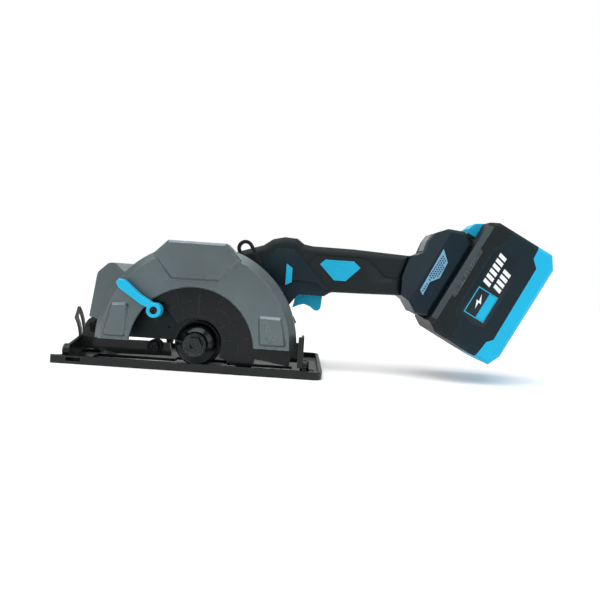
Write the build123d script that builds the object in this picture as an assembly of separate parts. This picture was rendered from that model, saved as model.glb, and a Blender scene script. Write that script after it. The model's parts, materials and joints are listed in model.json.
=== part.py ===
"""Cordless circular saw for a 165 mm blade, as separate pieces in one frame.

Millimetres. The origin is on the spindle axis at the middle of the blade's place.
+X points back to the battery, -Y out of the blade side of the saw, +Z up.
The saw stands on its shoe with the head at full depth, at no bevel, guard open.
"""
import math
import os

from build123d import *

# ---------------------------------------------------------------- driving dimensions
BLADE_R = 82.5            # 165 mm blade
CUT_DEPTH = 60.0          # blade reach below the shoe at full depth
SOLE_Z = CUT_DEPTH - BLADE_R
PLATE_T = 2.5             # shoe plate
PLATE_TOP = SOLE_Z + PLATE_T
RIM_TOP = SOLE_Z + 7.0    # upturned edge of the shoe
SHOE = (-117.0, 114.0, -22.0, 108.0)      # x low, x high, y low, y high
SLOT = (-98.0, 87.0, -18.0, 30.0)         # blade opening in the shoe

GUARD_R = 90.0            # upper guard, outer
GUARD_WALL = 3.0
GUARD_NEAR = -14.0
GUARD_BACK = (9.6, 12.0)
PANEL_PROUD = 2.2                         # how far the guard's raised panels stand out
WINDOW = (-3.4, -4.8, 55.3)               # opening in the near wall: x, z, radius
SWING_R = 85.5            # lower guard, outer
SWING_WALL = 2.0
SWING_NEAR = (-9.2, -7.6)
SWING_FAR = (6.6, 8.6)
SWING_OPEN = (-9.6, 132.0)                # degrees covered by the lower guard at rest

PILOT_R = 10.0            # 20 mm blade bore
BLADE_GAP = 0.7           # half the room for the blade between the flanges
FLANGE_R = 20.0
SPINDLE_R = 6.0
GUARD_BOSS_R = 16.0       # the lower guard turns on this boss
RUN = 0.05                # radial running clearance

MODULE = 1.0
GEAR_TEETH = 34
PINION_TEETH = 10
PRESSURE = math.radians(25)
CENTRES = MODULE * (GEAR_TEETH + PINION_TEETH) / 2
GEAR_Y = (17.0, 25.0)
LOCK_PIN_Y = 28.4          # spindle lock pin, in the notches of the spindle's collar
LOCK_PIN_R = 1.9
MOTOR_R = 31.0
MOTOR_Y = (38.0, 96.0)

BEVEL_Y = -12.0           # bevel axis runs along X through this point
BEVEL_Z = -12.0
BEVEL_PIN_R = 3.0
LUG_R = 5.8               # round the bevel pins
LOCK_R = 38.0             # bevel lock stud, distance from the bevel axis
LOCK_START = 5.0          # degrees above level, at no bevel
QUADRANT_X = (-114.0, -111.5)             # shoe's front bracket
TILT_X = (-111.0, -108.5)                 # tilting bracket beside it
EAR_Y = (12.4, 15.0)      # depth ear and arm of the tilting bracket
EAR_R = 9.0
BUMPER = (-40.3, -6.7)
BEVEL_RANGE = 45.0
DEPTH_X = -97.3           # depth axis runs along Y through this point
DEPTH_Z = 7.6
DEPTH_RANGE = 30.0
ARC_R = 156.7             # depth arc, middle of its slot
ARC_Y = (17.0, 20.0)
STUD_ANGLE = 1.5          # depth stud on the arc, degrees above level

HANDLE_Y = 48.0           # split plane of the handle
HANDLE_HALF = 17.5
FOOT_HALF = 28.0
NECK_ROUND = 7.0
SHELL = 2.5
TAPER_W = (128.5, 146.0)   # the foot widens from the neck between these, across the slope

SLIDE_ANGLE = math.radians(62)            # the battery slides off along this slope
FACE_W = 170.5            # battery top face, across the slope
PACK_Y = (10.0, 86.0)
PACK_U = (123.0, 240.5)

os.makedirs("parts", exist_ok=True)


# ---------------------------------------------------------------- small helpers
def save(name, shape):
    """Write one node."""
    shape.label = name
    export_step(shape, f"parts/{name}.step")


def outline(points, corner=0.0):
    """Closed face through the points, with rounded corners."""
    face = make_face(Polyline(*points, close=True))
    if corner:
        face = fillet(face.vertices(), corner)
    return face


def slab(sketch, y_low, y_high):
    """Solid of an X-Z sketch between two Y planes."""
    return extrude(Plane.XZ.offset(-y_high) * sketch, y_high - y_low)


def plate_yz(sketch, x_low, x_high):
    """Solid of a Y-Z sketch between two X planes."""
    return extrude(Plane.YZ.offset(x_low) * sketch, x_high - x_low)


def level(sketch, z_low, z_high):
    """Solid of an X-Y sketch between two Z planes."""
    return extrude(Plane.XY.offset(z_low) * sketch, z_high - z_low)


def block(x_low, x_high, y_low, y_high, z_low, z_high):
    """Box between six planes."""
    size = (x_high - x_low, y_high - y_low, z_high - z_low)
    middle = ((x_low + x_high) / 2, (y_low + y_high) / 2, (z_low + z_high) / 2)
    return Pos(*middle) * Box(*size)


def disc(x, z, radius, y_low, y_high):
    """Cylinder along Y."""
    return slab(Pos(x, z) * Circle(radius), y_low, y_high)


def ring(x, z, inner, outer, y_low, y_high):
    """Tube along Y."""
    return slab(Pos(x, z) * (Circle(outer) - Circle(inner)), y_low, y_high)


def bar_x(y, z, radius, x_low, x_high):
    """Cylinder along X."""
    return plate_yz(Pos(y, z) * Circle(radius), x_low, x_high)


def polar(radius, degrees, centre=(0.0, 0.0)):
    """Point at an angle from +X towards the sketch's second axis."""
    turn = math.radians(degrees)
    return (centre[0] + radius * math.cos(turn), centre[1] + radius * math.sin(turn))


def sector(inner, outer, start, end, centre=(0.0, 0.0)):
    """Piece of a flat ring between two angles, in degrees."""
    middle = (start + end) / 2
    low = ThreePointArc(polar(inner, start), polar(inner, middle), polar(inner, end))
    high = ThreePointArc(polar(outer, end), polar(outer, middle), polar(outer, start))
    sides = Line(polar(inner, end), polar(outer, end)) + Line(polar(outer, start), polar(inner, start))
    return Pos(*centre) * make_face(low + high + sides)


def uw(u, w):
    """X-Z point from the battery's own axes: u up the slope, w across it, away from the handle."""
    cos, sin = math.cos(SLIDE_ANGLE), math.sin(SLIDE_ANGLE)
    return (u * cos + w * sin, u * sin - w * cos)


def slope(points, y_low, y_high, corner=0.0):
    """Slab of an outline given in the battery's own axes."""
    return slab(outline([uw(*point) for point in points], corner), y_low, y_high)


def slope_block(u_low, u_high, w_low, w_high, y_low, y_high):
    """Box in the battery's own axes."""
    points = [(u_low, w_low), (u_high, w_low), (u_high, w_high), (u_low, w_high)]
    return slope(points, y_low, y_high)


def gear(teeth, phase):
    """Involute spur gear outline, a tooth centred at phase degrees, thinned for backlash."""
    pitch = MODULE * teeth / 2
    base = pitch * math.cos(PRESSURE)
    tip = pitch + 0.9 * MODULE
    root = pitch - 1.15 * MODULE
    backlash = 0.06 / pitch

    def involute(radius):
        """Involute angle at a radius."""
        roll = math.sqrt(max((radius / base) ** 2 - 1, 0))
        return roll - math.atan(roll)

    half = math.pi / (2 * teeth) - backlash + involute(pitch)
    flank = [max(base, root) + (tip - max(base, root)) * step / 5 for step in range(6)]
    points = []
    for tooth in range(teeth):
        centre = math.radians(phase) + 2 * math.pi * tooth / teeth
        rising = [(root, half)] + [(radius, half - involute(radius)) for radius in flank]
        for radius, offset in rising:
            points.append(polar(radius, math.degrees(centre - offset)))
        for radius, offset in reversed(rising):
            points.append(polar(radius, math.degrees(centre + offset)))
    return outline(points)


def machine_screw(x, z, head_r, shank_r, y_head, head_t, length):
    """Pan-head screw along +Y with a cross recess, its head towards -Y."""
    head = disc(x, z, head_r, y_head, y_head + head_t)
    head = chamfer(head.faces().sort_by(Axis.Y)[0].edges(), 0.3 * head_t)
    cross = block(x - 0.5, x + 0.5, y_head - 1, y_head + 0.5 * head_t, z - 0.5 * head_r, z + 0.5 * head_r)
    cross += block(x - 0.5 * head_r, x + 0.5 * head_r, y_head - 1, y_head + 0.5 * head_t, z - 0.5, z + 0.5)
    return head - cross + disc(x, z, shank_r, y_head + head_t, y_head + head_t + length)


def from_far_side(piece):
    """The piece turned to face +Y, its places counted from the other side."""
    return mirror(piece, about=Plane.XZ)


# ---------------------------------------------------------------- shoe
def base_plate():
    """Stamped shoe: flat sole, upturned rim, blade opening and rip fence slots."""
    x_low, x_high, y_low, y_high = SHOE
    nose = -124.0
    shape = outline([(nose + 2, y_low), (x_high, y_low), (x_high, y_high), (x_low, y_high),
                     (x_low, -5), (x_low + 4.5, -11), (x_low, -17), (nose, -18)])
    shape = fillet(shape.vertices().filter_by(lambda v: v.X > 100 or v.Y > 100), 9)
    plate = level(shape, SOLE_Z, RIM_TOP)
    inner = outline([(-121, y_low + 4), (x_high - 3, y_low + 4), (x_high - 3, y_high - 3),
                     (x_low + 3, y_high - 3), (x_low + 3, y_low + 5), (-121, y_low + 4.6)])
    plate -= level(inner, PLATE_TOP, RIM_TOP + 1)
    opening = block(*SLOT, SOLE_Z - 1, RIM_TOP + 1)
    opening += block(-25, 25, SLOT[3] - 1, MOTOR_Y[0] + 3, SOLE_Z - 1, RIM_TOP + 1)
    fence = block(-109, -96, y_low - 1, y_low + 5, PLATE_TOP, PLATE_TOP + 3.2)
    fence += block(-109, -96, y_high - 4, y_high + 1, PLATE_TOP, PLATE_TOP + 3.2)
    sole_edges = plate.faces().sort_by(Axis.Z)[0].edges().filter_by(Axis.Y).filter_by(
        lambda e: e.center().X > 100)
    plate = chamfer(sole_edges, 1.2)
    return plate - opening - fence


def bevel_quadrant():
    """Front bracket of the shoe: bevel pivot lug and slotted quadrant, on one foot."""
    pivot = (BEVEL_Y, BEVEL_Z)
    sketch = Pos(*pivot) * Circle(LUG_R)
    sketch += sector(LOCK_R - 6.5, LOCK_R + 6, -8, LOCK_START + BEVEL_RANGE + 8, pivot)
    sketch += outline([(BEVEL_Y - 5, PLATE_TOP), (34, PLATE_TOP), (34, -12), (18, -12), (14, -16),
                       (BEVEL_Y + 5, -14), (BEVEL_Y - 5, -14)])
    sketch &= Pos(0, 50 + PLATE_TOP) * Rectangle(200, 100)
    slot_end = LOCK_START + BEVEL_RANGE
    half = 3.2
    sketch -= sector(LOCK_R - half, LOCK_R + half, LOCK_START, slot_end, pivot)
    for angle in (LOCK_START, slot_end):
        sketch -= Pos(*polar(LOCK_R, angle, pivot)) * Circle(half)
    sketch -= Pos(*pivot) * Circle(BEVEL_PIN_R + RUN)
    near, far = QUADRANT_X
    foot_top = PLATE_TOP + 2.5
    return plate_yz(sketch, near, far) + block(near, far, 30, 48, PLATE_TOP, foot_top) + block(
        far, far + 12, 38, 48, PLATE_TOP, foot_top)


def base_rear_bracket():
    """Rear bracket of the shoe with its bevel pivot lug."""
    lug = Pos(BEVEL_Y, BEVEL_Z) * Circle(LUG_R)
    lug += outline([(BEVEL_Y - 5.5, PLATE_TOP), (6, PLATE_TOP), (BEVEL_Y + 5, -12), (BEVEL_Y - 5.5, -12)])
    lug -= Pos(BEVEL_Y, BEVEL_Z) * Circle(BEVEL_PIN_R + RUN)
    upright = plate_yz(lug, 97.0, 99.5)
    return upright + block(99.5, 109, -17.5, 1, PLATE_TOP, PLATE_TOP + 2.5)


def base_rivets():
    """Rivet heads that hold the two shoe brackets."""
    heads = []
    for x, y in ((-105, 43), (104.5, -12), (104.5, -3)):
        head = level(Pos(x, y) * Circle(2.6), PLATE_TOP + 2.5, PLATE_TOP + 4)
        heads.append(chamfer(head.faces().sort_by(Axis.Z)[-1].edges(), 0.7))
    return heads


def fence_saddle():
    """Saddle over the rip fence bar, with the clamp screw's boss."""
    low = PLATE_TOP
    saddle = block(-113.5, -91.5, 74, 90, low, low + 5.5) - block(-109, -96, 70, 94, low - 1, low + 3.2)
    saddle += level(Pos(-102.5, 82) * Circle(6), low + 5.5, low + 9)
    return saddle - level(Pos(-102.5, 82) * Circle(3 + RUN), low + 2, low + 10)


def fence_screw():
    """Wing screw that clamps the rip fence bar."""
    low = PLATE_TOP
    screw = level(Pos(-102.5, 82) * Circle(3), low + 3.3, low + 13)
    wing = Pos(-102.5, 82, low + 16) * Box(20, 4, 8)
    wing = fillet(wing.edges().filter_by(Axis.Y), 3)
    return screw + wing + level(Pos(-102.5, 82) * Circle(5.5), low + 9.3, low + 13)


# ---------------------------------------------------------------- tilting frame
def tilt_front_bracket():
    """Bent steel bracket: bevel plate, depth pivot ear and the long arm beside the blade."""
    pivot = (BEVEL_Y, BEVEL_Z)
    stud = polar(LOCK_R, LOCK_START, pivot)
    plate = Pos(*pivot) * Circle(LUG_R)
    plate += Pos(*stud) * Circle(6.5)
    plate += outline([(BEVEL_Y, BEVEL_Z - LUG_R), (stud[0], -15.2), (stud[0], -2.6), (14, -1),
                      (BEVEL_Y, BEVEL_Z + LUG_R)])
    plate -= Pos(*pivot) * Circle(BEVEL_PIN_R)
    plate -= Pos(*stud) * Circle(3)
    upright = plate_yz(plate, *TILT_X)
    ear = Pos(DEPTH_X, DEPTH_Z) * Circle(EAR_R)
    ear += outline([(TILT_X[0], -8), (DEPTH_X - EAR_R, DEPTH_Z), (DEPTH_X + EAR_R, DEPTH_Z), (-88.3, -3),
                    (-48, -2.4), (-27, -3), (-25, -15), (-75, -16), (-96, -12), (TILT_X[0], -12)])
    ear -= Pos(DEPTH_X, DEPTH_Z) * Circle(4)
    ear -= Pos(*BUMPER) * Circle(2.6)
    return upright + slab(ear, *EAR_Y)


def tilt_rear_bracket():
    """Rear steel bracket: bevel plate, front flange beside the guard, flange for the depth arc."""
    plate = outline([(-17.8, -13.5), (-13.5, -17.8), (20, -17), (22.7, -14), (22.7, 4), (2, 13.5),
                     (-17.8, 13.5)])
    plate -= Pos(BEVEL_Y, BEVEL_Z) * Circle(BEVEL_PIN_R)
    upright = plate_yz(plate, 94.0, 96.5)
    upright += block(91.4, 94.0, -17.8, -15.3, -13.5, 13.5)
    return upright + block(72, 94.0, ARC_Y[1], 22.7, -14, 4)


def depth_arc():
    """Slotted steel arc about the depth axis, with its foot on the rear bracket."""
    centre = (DEPTH_X, DEPTH_Z)
    end = STUD_ANGLE + DEPTH_RANGE
    half = 4.4
    slot = sector(ARC_R - half, ARC_R + half, STUD_ANGLE, end, centre)
    body = sector(ARC_R - half - 3.4, ARC_R + half + 3.4, -8, end, centre)
    for angle in (STUD_ANGLE, end):
        slot += Pos(*polar(ARC_R, angle, centre)) * Circle(half)
        body += Pos(*polar(ARC_R, angle, centre)) * Circle(half + 3.4)
    body += outline([(54, -14), (93.9, -14), (93.9, 4), (74, 4), (64, -3)])
    return slab(body - slot, *ARC_Y)


def bevel_pins():
    """Riveted pins of the bevel axis, front and rear."""
    front = bar_x(BEVEL_Y, BEVEL_Z, BEVEL_PIN_R, QUADRANT_X[0] - 0.3, TILT_X[1])
    front += bar_x(BEVEL_Y, BEVEL_Z, 3.4, QUADRANT_X[0] - 0.9, QUADRANT_X[0] - 0.2)
    rear = bar_x(BEVEL_Y, BEVEL_Z, BEVEL_PIN_R, 94.0, 101)
    rear += bar_x(BEVEL_Y, BEVEL_Z, 4.5, 99.8, 102)
    return [front, rear]


def bevel_stud():
    """Carriage bolt through the quadrant, on which the lock knob turns."""
    y, z = polar(LOCK_R, LOCK_START, (BEVEL_Y, BEVEL_Z))
    return bar_x(y, z, 3, QUADRANT_X[0] - 0.3, -88) + bar_x(
        y, z, 5.5, QUADRANT_X[0] - 2.3, QUADRANT_X[0] - 0.3)


def bevel_knob():
    """Three-lobed knob that clamps the bevel."""
    y, z = polar(LOCK_R, LOCK_START, (BEVEL_Y, BEVEL_Z))
    lobes = Pos(y, z) * Circle(6.8)
    for turn in range(3):
        lobes += Pos(*polar(4.9, 90 + 120 * turn, (y, z))) * Circle(3.5)
    knob = plate_yz(lobes, -101, -85)
    knob += bar_x(y, z, 6, TILT_X[1] + 0.2, -101)
    return knob - bar_x(y, z, 3 + RUN, TILT_X[1], -87.5)


def tilt_screws():
    """Shoulder screw of the depth axis and the buffer's screw."""
    pivot = machine_screw(DEPTH_X, DEPTH_Z, 5.2, 4.0, EAR_Y[0] - 3.2, 3.2, 10.8)
    return [pivot, machine_screw(*BUMPER, 4.6, 2.6, EAR_Y[0] - 6.0, 2.8, 8.8)]


def bumper():
    """Rubber buffer on both sides of the arm, under the guard's back wall."""
    far = ring(*BUMPER, 2.6, 6.6, EAR_Y[1], EAR_Y[1] + 3)
    return [far, ring(*BUMPER, 2.6, 6.8, EAR_Y[0] - 3.2, EAR_Y[0])]


# ---------------------------------------------------------------- head castings
def hex_panel():
    """Outline of the raised six-sided panel on the upper guard."""
    return outline([(-28.7, 91), (22.6, 91), (36.5, 77.5), (18.5, 56.9), (-24.3, 56.6), (-41.5, 78)])


def foot_panels():
    """Raised panels on both feet of the upper guard, an arrow engraved in the rear one."""
    front = outline([(-59.5, 34), (-75.5, 32.5), (-82, 3), (-61, 3)], 3)
    rear = outline([(54, 29.5), (75.7, 29), (81.3, 3), (56.5, 3)], 3)
    arrow = outline([(59, 26.4), (62.6, 27.3), (67.4, 12), (71.4, 12.9), (67.8, 5.5), (61.2, 10.6),
                     (64, 11.2)])
    groove = slab(arrow - offset(arrow, -0.7), GUARD_NEAR - 3, GUARD_NEAR - PANEL_PROUD + 0.7)
    return raised_panel(front, GUARD_NEAR + 0.5) + (raised_panel(rear, GUARD_NEAR + 0.5) - groove)


def raised_panel(sketch, back):
    """Slab that stands out of the guard's near wall, with a bevel all round it."""
    panel = slab(sketch, GUARD_NEAR - PANEL_PROUD, back)
    return chamfer(panel.faces().sort_by(Axis.Y)[0].edges(), PANEL_PROUD - 0.1)


def upper_guard():
    """Cast guard over the blade: near wall with its window, rim, back wall and raised panels."""
    rim_back = GUARD_BACK[1]
    feet = Pos(0, 100.5) * Rectangle(300, 200)
    solid = slab(Circle(GUARD_R) & feet, GUARD_NEAR, rim_back)
    front = solid.faces().sort_by(Axis.Y)[0]
    solid = chamfer(front.edges().filter_by(lambda e: e.center().Z > 3), 6.5)
    solid += raised_panel(hex_panel(), rim_back)
    hollow = slab(Circle(GUARD_R - GUARD_WALL), GUARD_NEAR + GUARD_WALL, GUARD_BACK[0])
    solid -= chamfer(hollow.faces().sort_by(Axis.Y)[0].edges(), 2.5)
    window = Pos(WINDOW[0], WINDOW[1]) * Circle(WINDOW[2] + 1)
    window = slab(window, GUARD_NEAR, GUARD_NEAR + 1)
    window = chamfer(window.faces().sort_by(Axis.Y)[-1].edges(), 0.99)
    solid -= window + disc(WINDOW[0], WINDOW[1], WINDOW[2], GUARD_NEAR - 1, GUARD_NEAR + GUARD_WALL + 0.1)
    solid += disc(0, 0, 21.5, *GUARD_BACK)
    solid -= disc(0, 0, GUARD_BOSS_R + 1.0, GUARD_BACK[0] - 1, rim_back + 1)
    solid += foot_panels()
    dust = outline([(-80, 12), (-66, 12), (-60, 46), (-68, 52), (-78, 36)], 3)
    solid -= slab(dust, GUARD_BACK[0] - 1, rim_back + 1)
    for x, z in GUARD_SCREWS:
        solid -= disc(x, z, 2.0, GUARD_BACK[0] - 1, rim_back + 1)
    return solid - slab(STUD_POINT * Circle(4), GUARD_BACK[0] - 1, rim_back + 1)


def dust_chute():
    """Cast duct from the guard's front to the far side, with the depth pivot lug."""
    shape = outline([(-99.5, 18), (-94.5, 58), (-82, 70), (-70, 60), (-58, 50), (-60, 9.5), (-88, 9.5)])
    shape = fillet(shape.vertices().filter_by(lambda v: v.Y > 55), 7)
    duct = slab(shape, 12.0, 62.0)
    duct += slab(shape - Circle(GUARD_R), 1.5, 12.0)
    duct -= slab(offset(shape, -SHELL), 14.5, 63.0)
    duct -= slab(outline([(-80, 12), (-66, 12), (-60.5, 46), (-68, 52), (-78, 36)], 3), 11.0, 15.0)
    duct -= disc(DEPTH_X, DEPTH_Z, EAR_R + 0.6, 0, EAR_Y[1] + 0.3)
    lug = Pos(DEPTH_X, DEPTH_Z) * Circle(8.5)
    lug += outline([(-105.5, 9), (-99.2, 22), (-86, 22), (-84, 9.5), (-89, 5)])
    duct += slab(lug, EAR_Y[1] + 0.3, EAR_Y[1] + 7)
    return duct - disc(DEPTH_X, DEPTH_Z, 4 + RUN, 12, EAR_Y[1] + 8)


def gear_housing():
    """Cast gear case behind the guard, with the boss that carries the lower guard."""
    outer = Circle(21.5) + Pos(0, CENTRES) * Circle(13)
    outer += outline([(-20.5, 4), (20.5, 4), (13, CENTRES + 4), (-13, CENTRES + 4)])
    flange = outline([(-34, 2), (34, 2), (34, 34), (24, 44), (-24, 44), (-34, 34)], 4) + Circle(21.5)
    case = slab(flange, GUARD_BACK[1], 15.0) + slab(outer, 15.0, MOTOR_Y[0])
    case += disc(0, 0, GUARD_BOSS_R, 5.6, GUARD_BACK[1])
    case -= disc(0, 0, 19.4, 15.5, 35.5)
    case -= disc(0, CENTRES, 9.0, 15.5, MOTOR_Y[0] + 1)
    case -= disc(0, 0, 13.0, 7.5, 15.5)
    case -= disc(0, 0, SPINDLE_R + 1.0, 5.0, 8.0)
    case -= bar_x(LOCK_PIN_Y, 0, LOCK_PIN_R + RUN, -30, -15)
    case += ring(0, 0, 11.0, 19.6, 33.0, 35.5) - disc(0, CENTRES, 9.4, 32, 37)
    for x, z in GUARD_SCREWS:
        case -= disc(x, z, 2.0, GUARD_BACK[1] - 1, 16)
    return case


def guard_screws():
    """Screws through the gear case's flange into the guard's back wall."""
    flange = GUARD_BACK[1] + 3
    return [from_far_side(machine_screw(x, z, 3.6, 2.0, -flange - 1.8, 1.8, 5.2)) for x, z in GUARD_SCREWS]


def bearings():
    """Ball bearings of the spindle and the motor shaft."""
    return [ring(0, 0, SPINDLE_R, 13.0, 8.0, 15.4), ring(0, 0, 5.0, 11.0, 30.5, 35.4),
            ring(0, CENTRES, 4.0, 8.9, 32.0, 37.9), ring(0, CENTRES, 4.0, 9.0, 97.0, 101.4)]


def motor_housing():
    """Drum round the motor, open at the far end, with a wall at the gear case."""
    drum = disc(0, CENTRES, MOTOR_R, *MOTOR_Y)
    drum -= disc(0, CENTRES, MOTOR_R - SHELL, MOTOR_Y[0] + 2.0, MOTOR_Y[1] + 1)
    drum -= disc(0, CENTRES, 9.2, MOTOR_Y[0] - 1, MOTOR_Y[0] + 3)
    vent = block(-2, 2, 84, 93, CENTRES - MOTOR_R - 1, CENTRES - MOTOR_R + 5)
    for step in range(-3, 4):
        drum -= Pos(0, 0, CENTRES) * (Rot(0, 15 * step, 0) * (Pos(0, 0, -CENTRES) * vent))
    return drum


def motor_end_cap():
    """Vented cap on the far end of the motor, with its bearing seat."""
    y = MOTOR_Y[1]
    cap = disc(0, CENTRES, MOTOR_R, y, y + 8)
    cap = chamfer(cap.faces().sort_by(Axis.Y)[-1].edges(), 3)
    cap -= disc(0, CENTRES, MOTOR_R - SHELL, y - 1, y + 5.5)
    cap += ring(0, CENTRES, 9.0, 11.0, y + 1, y + 5.5)
    slot = sector(14, 25, -4, 4)
    for step in range(12):
        cap -= slab(Pos(0, CENTRES) * (Rot(0, 0, 30 * step) * slot), y + 4, y + 9)
    return cap


def stator():
    """Laminated stator with twelve slots."""
    core = Circle(MOTOR_R - SHELL) - Circle(17.2)
    for step in range(12):
        core -= Rot(0, 0, 30 * step) * sector(18.4, 25, -9, 9)
    return slab(Pos(0, CENTRES) * core, 50, 80)


def windings():
    """Copper end turns on both sides of the stator."""
    return [ring(0, CENTRES, 18.4, 25.0, 44, 50), ring(0, CENTRES, 18.4, 25.0, 80, 86)]


# ---------------------------------------------------------------- handle
def neck_outline():
    """Handle side view, from the motor to the end of the grip."""
    points = [(-18, 50), (-4, 68), (26, 86), (52, 94.5), (61, 101), (72, 103.6), (84, 103), (91, 98),
              (99, 96.6), (140, 96.2), (193, 93.6), (186.5, 73), (186, 55), (150, 54.2), (120, 53.6),
              (113.5, 49), (88, 49), (72, 27), (40, 1), (26, 0)]
    return outline(points)


def foot_outline():
    """Side view of the battery foot, down to the battery's top face."""
    edge = [uw(211, FACE_W - 0.5), uw(133, FACE_W - 0.5)]
    return outline([(186, 55), (186.5, 73), (193, 93.6), (199, 94.4), (205.5, 98), (209.7, 109.7),
                    (214.5, 116.5), (226, 121), (241.5, 119.5)] + edge + [(199.6, 39.2), (193, 50)])


def half(shape, half_width, side, rounding):
    """Solid half of a handle part, rounded on its outer side; side is -1 towards the blade."""
    if side < 0:
        solid = slab(shape, HANDLE_Y - half_width, HANDLE_Y)
    else:
        solid = slab(shape, HANDLE_Y, HANDLE_Y + half_width)
    face = solid.faces().sort_by(Axis.Y)[0 if side < 0 else -1]
    return fillet(face.edges(), rounding)


def core(cavity, half_width):
    """Inside of a handle part, through both halves."""
    return slab(cavity, HANDLE_Y - half_width + SHELL, HANDLE_Y + half_width - SHELL)


def neck_cavity():
    """Room inside the handle halves."""
    return outline([(20, 70), (54, 86), (66, 96), (82, 96), (96, 90.5), (182, 88.5), (180.5, 62), (118, 61),
                    (110, 56), (86, 56), (64, 30), (42, 12), (36, 20), (40, 45), (28, 56)])


def trigger_outline(gap=0.0):
    """Side view of the trigger; a gap widens it for the handle's opening."""
    return outline([(84 - gap, 66 + gap), (84 - gap, 34.5), (112 + gap, 34.5), (112 + gap, 66 + gap)])


def button_outline(gap=0.0):
    """Side view of the lock-off button."""
    shape = outline([(75.4, 57.4), (81.2, 60.7), (81.2, 74.1), (75.4, 78)])
    return offset(shape, gap) if gap else shape


def handle_half(side):
    """Half of the grip and neck."""
    shell = half(neck_outline(), HANDLE_HALF, side, NECK_ROUND) - core(neck_cavity(), HANDLE_HALF)
    shell -= disc(0, CENTRES, MOTOR_R, 0, 100)
    shell -= slab(trigger_outline(0.5), HANDLE_Y - 9.5, HANDLE_Y + 9.5)
    shell -= slab(button_outline(0.3), HANDLE_Y - 30, HANDLE_Y + 30)
    return shell - screw_holes()


def foot_taper(inward=0.0):
    """Slanted cuts that narrow the foot to the neck on both sides, moved inward for the cavity."""
    cos, sin = math.cos(SLIDE_ANGLE), math.sin(SLIDE_ANGLE)
    narrow = HANDLE_HALF - inward
    shift = 1.2 * inward
    shape = outline([(90, narrow), (TAPER_W[0] + shift, narrow), (TAPER_W[1] + shift, FOOT_HALF - inward),
                     (TAPER_W[1] + shift, 50), (90, 50)])
    across = Plane(origin=(0, HANDLE_Y, 0), x_dir=(sin, 0, -cos), z_dir=(cos, 0, sin))
    return extrude(across * (shape + mirror(shape, about=Plane.XZ)), 300)


def foot_half(side):
    """Half of the battery foot, with the channel for the battery's rail."""
    cavity = core(offset(foot_outline(), -6), FOOT_HALF) - foot_taper(3.0)
    shell = half(foot_outline(), FOOT_HALF, side, 5.0) - foot_taper() - cavity
    rail = slope_block(100, 240, RAIL_W[0] - 0.4, RAIL_W[1] + 0.3, HANDLE_Y - 17.4, HANDLE_Y + 17.4)
    rail += slope_block(100, 240, RAIL_W[1], FACE_W + 5, HANDLE_Y - 12.4, HANDLE_Y + 12.4)
    lips = slope_block(136, 209, RAIL_W[1] + 0.3, FACE_W - 0.5, HANDLE_Y - 25, HANDLE_Y - 12.4)
    lips += slope_block(136, 209, RAIL_W[1] + 0.3, FACE_W - 0.5, HANDLE_Y + 12.4, HANDLE_Y + 25)
    keep = slab(Rectangle(900, 900), HANDLE_Y if side > 0 else 0, 100 if side > 0 else HANDLE_Y)
    return (shell - rail) + (lips & keep) - control_panel() - screw_holes()


def side_panel(side):
    """Raised panel that wraps the side of the neck, round the lock-off button."""
    shape = outline([(66.1, 92.5), (82, 92.5), (116, 55.5), (108, 50), (88.5, 50), (54, 74)])
    panel = side_skin(shape - button_outline(0.4), HANDLE_HALF - 4.5, side, 5.7)
    return panel - half(neck_outline(), HANDLE_HALF, side, NECK_ROUND) - screw_holes()


def side_skin(sketch, half_width, side, thick):
    """Thin plate that lies on a flat side of the handle."""
    if side < 0:
        return slab(sketch, HANDLE_Y - half_width - thick, HANDLE_Y - half_width)
    return slab(sketch, HANDLE_Y + half_width, HANDLE_Y + half_width + thick)


def badge(side):
    """Six-sided blank badge on the grip."""
    shape = outline([(107.2, 79.7), (112.1, 84.3), (139.4, 84.3), (146.1, 78.5), (132.6, 65), (121.6, 65)])
    return side_skin(shape, HANDLE_HALF, side, 0.8)


def foot_mesh(side):
    """Perforated vent inlay on the side of the foot."""
    shape = outline([(221.6, 101.4), (226.2, 89), (219.7, 74), (210.6, 69.6), (204.8, 57), (202.2, 61.5)])
    inside = offset(shape, -1.9).faces()[0]
    holes = Sketch()
    for row in range(11):
        for column in range(7):
            u = 158 + 4.2 * row
            w = 149 + 4.2 * (column + 0.5 * (row % 2))
            x, z = uw(u, w)
            if inside.is_inside(Vector(x, z, 0)):
                holes += Pos(x, z) * Circle(1.1)
    return side_skin(shape - holes, FOOT_HALF, side, 0.8)


def control_panel():
    """Panel with the charge light on the front slope of the foot."""
    points = [(207.5, 99), (205.8, 99.6), (208.6, 109), (212.6, 115), (214.2, 113.8), (211.6, 108)]
    return slab(outline(points), HANDLE_Y - 11, HANDLE_Y + 11)


def trigger():
    """Finger trigger with a concave front."""
    body = outline([(85, 60), (85, 44), (83.2, 35.5), (89, 38.6), (94.5, 40), (100.5, 37.8), (104.9, 34.4),
                    (108.5, 34.4), (110.8, 37), (111.6, 48), (111.6, 60)])
    return slab(body, HANDLE_Y - 9, HANDLE_Y + 9)


def lock_off_button():
    """Cross button, pushed through the neck before the trigger."""
    return slab(button_outline(), HANDLE_Y - HANDLE_HALF - 2.6, HANDLE_Y + HANDLE_HALF - 1)


def switch_module():
    """Trigger switch inside the neck."""
    return block(86, 116, HANDLE_Y - 9, HANDLE_Y + 9, 68.5, 86)


def controller_board():
    """Potted motor controller inside the grip."""
    return block(124, 172, HANDLE_Y - 11, HANDLE_Y + 11, 66, 84)


def terminal_block():
    """Block with three blades that reach into the battery's rail."""
    body = slope_block(141, 172, 147, RAIL_W[0] - 0.4, HANDLE_Y - 14, HANDLE_Y + 14)
    for offset_y in (-8, 0, 8):
        y = HANDLE_Y + offset_y
        body += slope_block(141, 154, RAIL_W[0] - 0.4, RAIL_W[1] - 1.0, y - 0.5, y + 0.5)
    return body


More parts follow.
